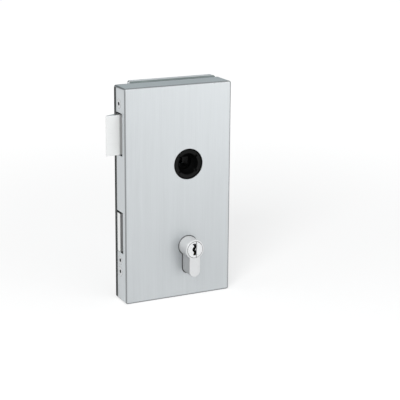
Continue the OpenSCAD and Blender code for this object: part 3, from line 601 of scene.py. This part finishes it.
def cylinder_plug(name, node, way):
    """A plug with a broken rim and a groove beside the keyway, both in painted shade, and a keyway with a
    rounded mouth in near-black painted shade.
    """
    shape = merged(node)
    low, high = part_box(node)
    face_y = low.y if way == NEAR else high.y
    groove_x = way * GROOVE_OFFSET

    def depth(point):
        return abs(point.y - face_y)

    def keyway_corner(edge):
        """A corner of the keyway's outline, in its mouth."""
        at = middle(edge)
        along = (edge.verts[0].co - edge.verts[1].co).normalized()
        return abs(along.y) > SQUARE and depth(at) < MOUTH_DEPTH and near_axis(at, KEYWAY_REACH)

    def plug_rim(edge):
        """The plug's outer edge on its face."""
        at = middle(edge)
        return depth(at) < ON_PLANE and not near_axis(at, PLUG_RIM_FROM)

    def keyway_rim(edge):
        """The keyway's edge on the face, without the groove's sides."""
        at = middle(edge)
        beside_groove = abs(abs(at.x - groove_x) - GROOVE_HALF_WIDTH) < ON_PLANE
        return depth(at) < ON_PLANE and near_axis(at, KEYWAY_REACH) and not beside_groove

    def finish(face):
        at = face.calc_center_median()
        facing = abs(face.normal.y)
        wall = facing < WALL and depth(at) > GROOVE_DEPTH
        broken = WALL < facing < SQUARE and depth(at) < GROOVE_DEPTH
        # Painted shade in the keyway
        if near_axis(at, KEYWAY_REACH) and (wall or broken):
            return KEYWAY_SHADE
        # Painted shade on the rim's bevel and in the groove
        if broken and not near_axis(at, PLUG_RIM_FROM):
            return RIM_SHADE
        within = abs(at.x - groove_x) < GROOVE_HALF_WIDTH + GROOVE_SIDE
        in_groove = within and ON_PLANE < depth(at) < GROOVE_DEPTH + ON_PLANE
        return RIM_SHADE if in_groove else PLUG_NICKEL

    split(shape, (0, face_y + way * MOUTH_DEPTH, 0), (0, 1, 0))
    soften(shape, KEYWAY_CORNER, segments=2, where=keyway_corner, sharper_than=15)
    y0, y1 = sorted((face_y - way * MM, face_y + way * GROOVE_DEPTH))
    groove_low = Vector((groove_x - GROOVE_HALF_WIDTH, y0, cylinder_z - GROOVE_HALF_LENGTH))
    groove_high = Vector((groove_x + GROOVE_HALF_WIDTH, y1, cylinder_z + GROOVE_HALF_LENGTH))
    shape = cut(shape, [(groove_low, groove_high, 0)])
    soften(shape, PLUG_RIM_BREAK, segments=2, where=plug_rim, sharper_than=50)
    soften(shape, KEYWAY_BREAK, segments=1, where=keyway_rim, sharper_than=30)
    piece(name, shape, [PLUG_NICKEL, KEYWAY_SHADE, RIM_SHADE], node, finish)


profile_cylinder()
cylinder_plug("front_plug_turned", "front_plug", NEAR)
cylinder_plug("rear_plug_turned", "rear_plug", FAR)


# Lever bushes

# Radii and depths in millimetres
BORE_R = 9.0
BORE_FACE_TO_R = 9.3
RING_TO_R = 12.1
LIP_R = 13.2
FLANGE_R = 14.5
SPINDLE_R = 6.48
SPIGOT_R = 10.9
WEB_Y = -15
FLANGE_FRONT_Y = -20.9
FLANGE_BACK_Y = -19.4
SPIGOT_END_Y = 13.8

NOTCH_TURNS = (40, 140, 220, 320)
NOTCH_FROM = 8.0 * MM
NOTCH_TO = 10.7 * MM
NOTCH_HALF_WIDTH = 0.9 * MM
NOTCH_DEPTH = 3 * MM


def turned(profile, steps=96):
    """A closed ring turned about the lever's axis, from (radius, depth) points in millimetres."""
    shape = bmesh.new()
    points = [shape.verts.new((r * MM, y * MM, 0)) for r, y in profile]
    edges = [shape.edges.new((a, b)) for a, b in zip(points, points[1:] + points[:1])]
    bmesh.ops.spin(shape, geom=points + edges, cent=(0, 0, 0), axis=(0, 1, 0), angle=2 * pi,
                   steps=steps, use_merge=True)
    bmesh.ops.remove_doubles(shape, verts=shape.verts, dist=WELD)
    bmesh.ops.recalc_face_normals(shape, faces=shape.faces)
    return shape


def bush_mouth(face, way):
    """The points of a rounded lip and of the sunk ring inside it, from the outside in."""
    lip = [(LIP_R, 0.7), (13.1, 0.35), (12.85, 0.1), (12.5, 0), (12.3, 0.05), (12.15, 0.35)]
    ring = [(9.4, 0.45), (9.1, 0.6), (BORE_R, 0.9)]
    return [(radius, face + way * depth) for radius, depth in lip + ring]


def bayonet_notches(face, way):
    """Four notches in a bush's inner ring, for the lever's catches."""
    y0, y1 = sorted((face * MM - way * MM, face * MM + way * NOTCH_DEPTH))
    low, high = Vector((NOTCH_FROM, y0, -NOTCH_HALF_WIDTH)), Vector((NOTCH_TO, y1, NOTCH_HALF_WIDTH))
    return [(low, high, radians(turn)) for turn in NOTCH_TURNS]


def bush(name, node, face, way, rest):
    """A bush with a lip and notches at its face, the rest of its profile, and a bore in a duller copy of
    its plastic as painted shade.
    """
    shape = cut(turned(bush_mouth(face, way) + rest), bayonet_notches(face, way))

    def finish(part):
        centre = part.calc_center_median()
        radius = Vector((centre.x, 0, centre.z)).length / MM
        return BUSH_BORE_SHADE if radius < BORE_FACE_TO_R else BUSH_PLASTIC if radius < RING_TO_R else BUSH_LIP

    piece(name, shape, [BUSH_PLASTIC, BUSH_LIP, BUSH_BORE_SHADE], node, finish)


def front_bush():
    """The near bush, with a web around the spindle and a flange behind the cover."""
    low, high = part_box("front_bush")
    back = high.y / MM
    web = [(BORE_R, WEB_Y), (SPINDLE_R, WEB_Y), (SPINDLE_R, back), (LIP_R, back)]
    flange = [(LIP_R, FLANGE_BACK_Y), (FLANGE_R, FLANGE_BACK_Y), (FLANGE_R, FLANGE_FRONT_Y),
              (LIP_R, FLANGE_FRONT_Y)]
    bush("front_bush_moulded", "front_bush", low.y / MM, NEAR, web + flange)


def rear_bush():
    """The far bush, over a spigot."""
    low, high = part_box("rear_bush")
    front = low.y / MM
    spigot = [(BORE_R, front), (SPIGOT_R, front), (SPIGOT_R, SPIGOT_END_Y), (LIP_R, SPIGOT_END_Y)]
    bush("rear_bush_moulded", "rear_bush", high.y / MM, FAR, spigot)


front_bush()
rear_bush()


# Coil springs

WIRE_RADIUS = 0.35 * MM
SPRING_TURNS = 9
CLOSED_PITCH = 2.06 * WIRE_RADIUS
STEPS_A_TURN = 24
WIRE_SIDES = 10


def coil_spring(name, node):
    """A coil spring along X with closed end turns."""
    low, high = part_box(node)
    length = high.x - low.x
    y, z = (low.y + high.y) / 2, (low.z + high.z) / 2
    coil = (high.z - low.z) / 2 - WIRE_RADIUS
    shape = bmesh.new()
    start = Matrix.Translation((low.x + WIRE_RADIUS, y, z + coil)) @ Matrix.Rotation(radians(90), 4, "X")
    bmesh.ops.create_circle(shape, cap_ends=True, radius=WIRE_RADIUS, segments=WIRE_SIDES, matrix=start)
    end = shape.verts[:] + shape.edges[:] + shape.faces[:]
    free_turns = SPRING_TURNS - 2
    free_pitch = (length - 2 * WIRE_RADIUS - 2 * CLOSED_PITCH) / free_turns
    for count, pitch in ((1, CLOSED_PITCH), (free_turns, free_pitch), (1, CLOSED_PITCH)):
        wound = bmesh.ops.spin(shape, geom=end, cent=(0, y, z), axis=(1, 0, 0), angle=radians(360 * count),
                               dvec=(pitch / STEPS_A_TURN, 0, 0), steps=STEPS_A_TURN * count,
                               use_merge=False)
        end = wound["geom_last"]
    bmesh.ops.recalc_face_normals(shape, faces=shape.faces)
    made = piece(name, shape, [SPRING_STEEL], node)
    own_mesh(made)


coil_spring("latch_spring_wound", "latch_spring")
coil_spring("follower_spring_wound", "follower_spring")


# Forend screws

# Width of the rim's chamfer in millimetres, and depths from the head's face
RIM_CHAMFER = 0.18
RIM_DEPTH = 0.25 * MM
SOCKET_FLOOR_FROM = 0.3 * MM
SOCKET_DEPTH = 2.6 * MM

# The longest facet of a head's rim, and the most corners of a face in a socket's wall
RIM_FACET = 1.2 * MM
SOCKET_WALL_CORNERS = 6


def forend_screws(name, node):
    """Countersunk screws with bright heads, and near-black painted shade on their chamfered rims and in
    their sockets.
    """
    shape = merged(node)
    head_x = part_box(node)[0].x

    def head_rim(edge):
        """A facet of the head's rim."""
        return abs(middle(edge).x - head_x) < ON_PLANE and edge.calc_length() < RIM_FACET

    def finish(face):
        depth, facing = face.calc_center_median().x - head_x, -face.normal.x
        socket_floor = facing > SQUARE and depth > SOCKET_FLOOR_FROM
        few_corners = len(face.verts) <= SOCKET_WALL_CORNERS
        socket_wall = abs(facing) < WALL and depth < SOCKET_DEPTH and few_corners
        rim = WALL < facing < SQUARE and depth < RIM_DEPTH
        # Painted shade in the socket and on the rim
        return SOCKET_SHADE if socket_floor or socket_wall or rim else SCREW_STEEL

    soften(shape, RIM_CHAMFER, segments=1, where=head_rim, sharper_than=30)
    piece(name, shape, [SCREW_STEEL, SOCKET_SHADE], node, finish)


forend_screws("cover_screws_sunk", "cover_screws")
forend_screws("cylinder_screw_sunk", "cylinder_screw")


# Floor

# Distances in metres, the paint's level, and the floor's own light near the object, dimmer there as
# painted shade, and far away
FLOOR_REACH = 30
FLOOR_GAP = 0.02 * MM
FLOOR_PAINT = 0.5
FADE_FROM, FADE_TO = 0.15, 0.9
NEAR_LIFT, FAR_LIFT = 0.58, 0.75


def floor_finish():
    """Pale paint that fades to white away from the object, for the camera and in reflections, its glow
    dimmer near the object as painted shade.
    """
    material = bpy.data.materials.new("white_floor")
    material.use_nodes = True
    tree = material.node_tree
    tree.nodes.clear()
    paths = add_node(tree, "LightPath").outputs
    seen = add_node(tree, "Math", {"operation": "MAXIMUM"},
                    _0=paths["Is Camera Ray"], _1=paths["Is Glossy Ray"])
    shown = add_node(tree, "Math", {"operation": "MAXIMUM"},
                     _0=seen.outputs[0], _1=paths["Is Transmission Ray"])
    place = add_node(tree, "TexCoord").outputs["Object"]
    away = add_node(tree, "VectorMath", {"operation": "LENGTH"}, _0=place).outputs["Value"]
    # Painted shade: the glow is lower near the object
    fade = add_node(tree, "MapRange", {"interpolation_type": "SMOOTHSTEP"},
                    Value=away, _1=FADE_FROM, _2=FADE_TO, _3=NEAR_LIFT, _4=FAR_LIFT)
    lift = add_node(tree, "Math", {"operation": "MULTIPLY"}, _0=shown.outputs[0], _1=fade.outputs[0])
    paint = add_node(tree, "BsdfDiffuse", Color=grey(FLOOR_PAINT))
    glow = add_node(tree, "Emission", Strength=lift.outputs[0])
    both = add_node(tree, "AddShader", _0=paint.outputs[0], _1=glow.outputs[0])
    add_node(tree, "OutputMaterial", Surface=both.outputs[0])
    return material


def white_floor():
    """A pale floor that keeps the object's soft shadow."""
    shape = bmesh.new()
    bmesh.ops.create_grid(shape, x_segments=1, y_segments=1, size=FLOOR_REACH)
    bmesh.ops.translate(shape, vec=(0, 0, cover_low.z - FLOOR_GAP), verts=shape.verts)
    floor = as_object("floor", shape)
    floor.data.materials.append(floor_finish())


white_floor()


# Studio light

# Levels of light, and the sides where the studio is brightest and where it is dimmer
ROOM_LIGHT = 0.58
SIDE_LIGHT = 0.85
BRIGHT_SIDE = Vector((0.3, -0.25, 0.92)).normalized()
WALL_SIDE = Vector((0.44, 0.857, 0.268)).normalized()
WALL_LEVEL = 0.52
WALL_TINT = (0.88, 1.0, 1.03)
CASE_MIDDLE = (cover_low + cover_high) / 2


def studio_world():
    """A studio that is brighter overhead, bluish and dimmer behind the object, and white to the camera."""
    world = bpy.data.worlds.new("studio")
    world.use_nodes = True
    bpy.context.scene.world = world
    tree = world.node_tree
    tree.nodes.clear()
    place = add_node(tree, "TexCoord").outputs["Generated"]

    def zone(side, start, end, low, high):
        """A level that changes smoothly from one side of the studio to the other."""
        towards = add_node(tree, "VectorMath", {"operation": "DOT_PRODUCT"}, _0=place, _1=side)
        ramp = add_node(tree, "MapRange", {"interpolation_type": "SMOOTHSTEP"},
                        Value=towards.outputs["Value"], _1=start, _2=end, _3=low, _4=high)
        return ramp.outputs[0]

    wall = zone(WALL_SIDE, start=0.5, end=0.92, low=0.0, high=1.0)
    overhead = zone(BRIGHT_SIDE, start=-0.3, end=0.9, low=SIDE_LIGHT, high=1.0)
    colour = add_node(tree, "Mix", {"data_type": "RGBA"},
                      _0=wall, _6=grey(1), _7=grey(WALL_LEVEL, WALL_TINT)).outputs[2]
    paths = add_node(tree, "LightPath").outputs
    room = add_node(tree, "Mix", _0=paths["Is Glossy Ray"], _2=ROOM_LIGHT, _3=1.0).outputs[0]
    lit = add_node(tree, "Math", {"operation": "MULTIPLY"}, _0=room, _1=overhead).outputs[0]
    studio = add_node(tree, "Background", Color=colour, Strength=lit).outputs[0]
    white = add_node(tree, "Background", Color=grey(1), Strength=1.0).outputs[0]
    seen = add_node(tree, "Math", {"operation": "MAXIMUM"},
                    _0=paths["Is Camera Ray"], _1=paths["Is Transmission Ray"]).outputs[0]
    both = add_node(tree, "MixShader", _0=seen, _1=studio, _2=white)
    add_node(tree, "OutputWorld", Surface=both.outputs[0])


def softbox(name, place, power, size):
    """A round softbox turned towards the middle of the case."""
    light = bpy.data.lights.new(name, "AREA")
    light.shape = "DISK"
    light.size = size
    light.energy = power
    made = bpy.data.objects.new(name, light)
    bpy.context.scene.collection.objects.link(made)
    made.location = place
    made.rotation_mode = "QUATERNION"
    made.rotation_quaternion = (Vector(place) - CASE_MIDDLE).to_track_quat("Z", "Y")


studio_world()
softbox("key_softbox", place=(0.56, -0.88, 0.12), power=1.1, size=0.45)
softbox("fill_softbox", place=(-0.6, -0.72, 0.6), power=6.6, size=0.5)


# Camera

# Its place in metres and turns, and its lens in millimetres
AZIMUTH = radians(-26.4)
ELEVATION = radians(15.48)
ROLL = radians(0.47)
DISTANCE = 1.1
TARGET = Vector((22.4, 0, -39.8)) * MM
SENSOR_WIDTH = 36
FOCAL_LENGTH = 112.77


def camera():
    """The view of the catalogue picture."""
    back = Vector((sin(AZIMUTH) * cos(ELEVATION), -cos(AZIMUTH) * cos(ELEVATION), sin(ELEVATION)))
    data = bpy.data.cameras.new("camera")
    data.sensor_width = SENSOR_WIDTH
    data.lens = FOCAL_LENGTH
    made = bpy.data.objects.new("camera", data)
    bpy.context.scene.collection.objects.link(made)
    made.location = TARGET + back * DISTANCE
    made.rotation_mode = "QUATERNION"
    made.rotation_quaternion = (-back).to_track_quat("-Z", "Y") @ Quaternion((0, 0, 1), ROLL)
    bpy.context.scene.camera = made


camera()
bpy.context.scene.view_settings.view_transform = "Standard"
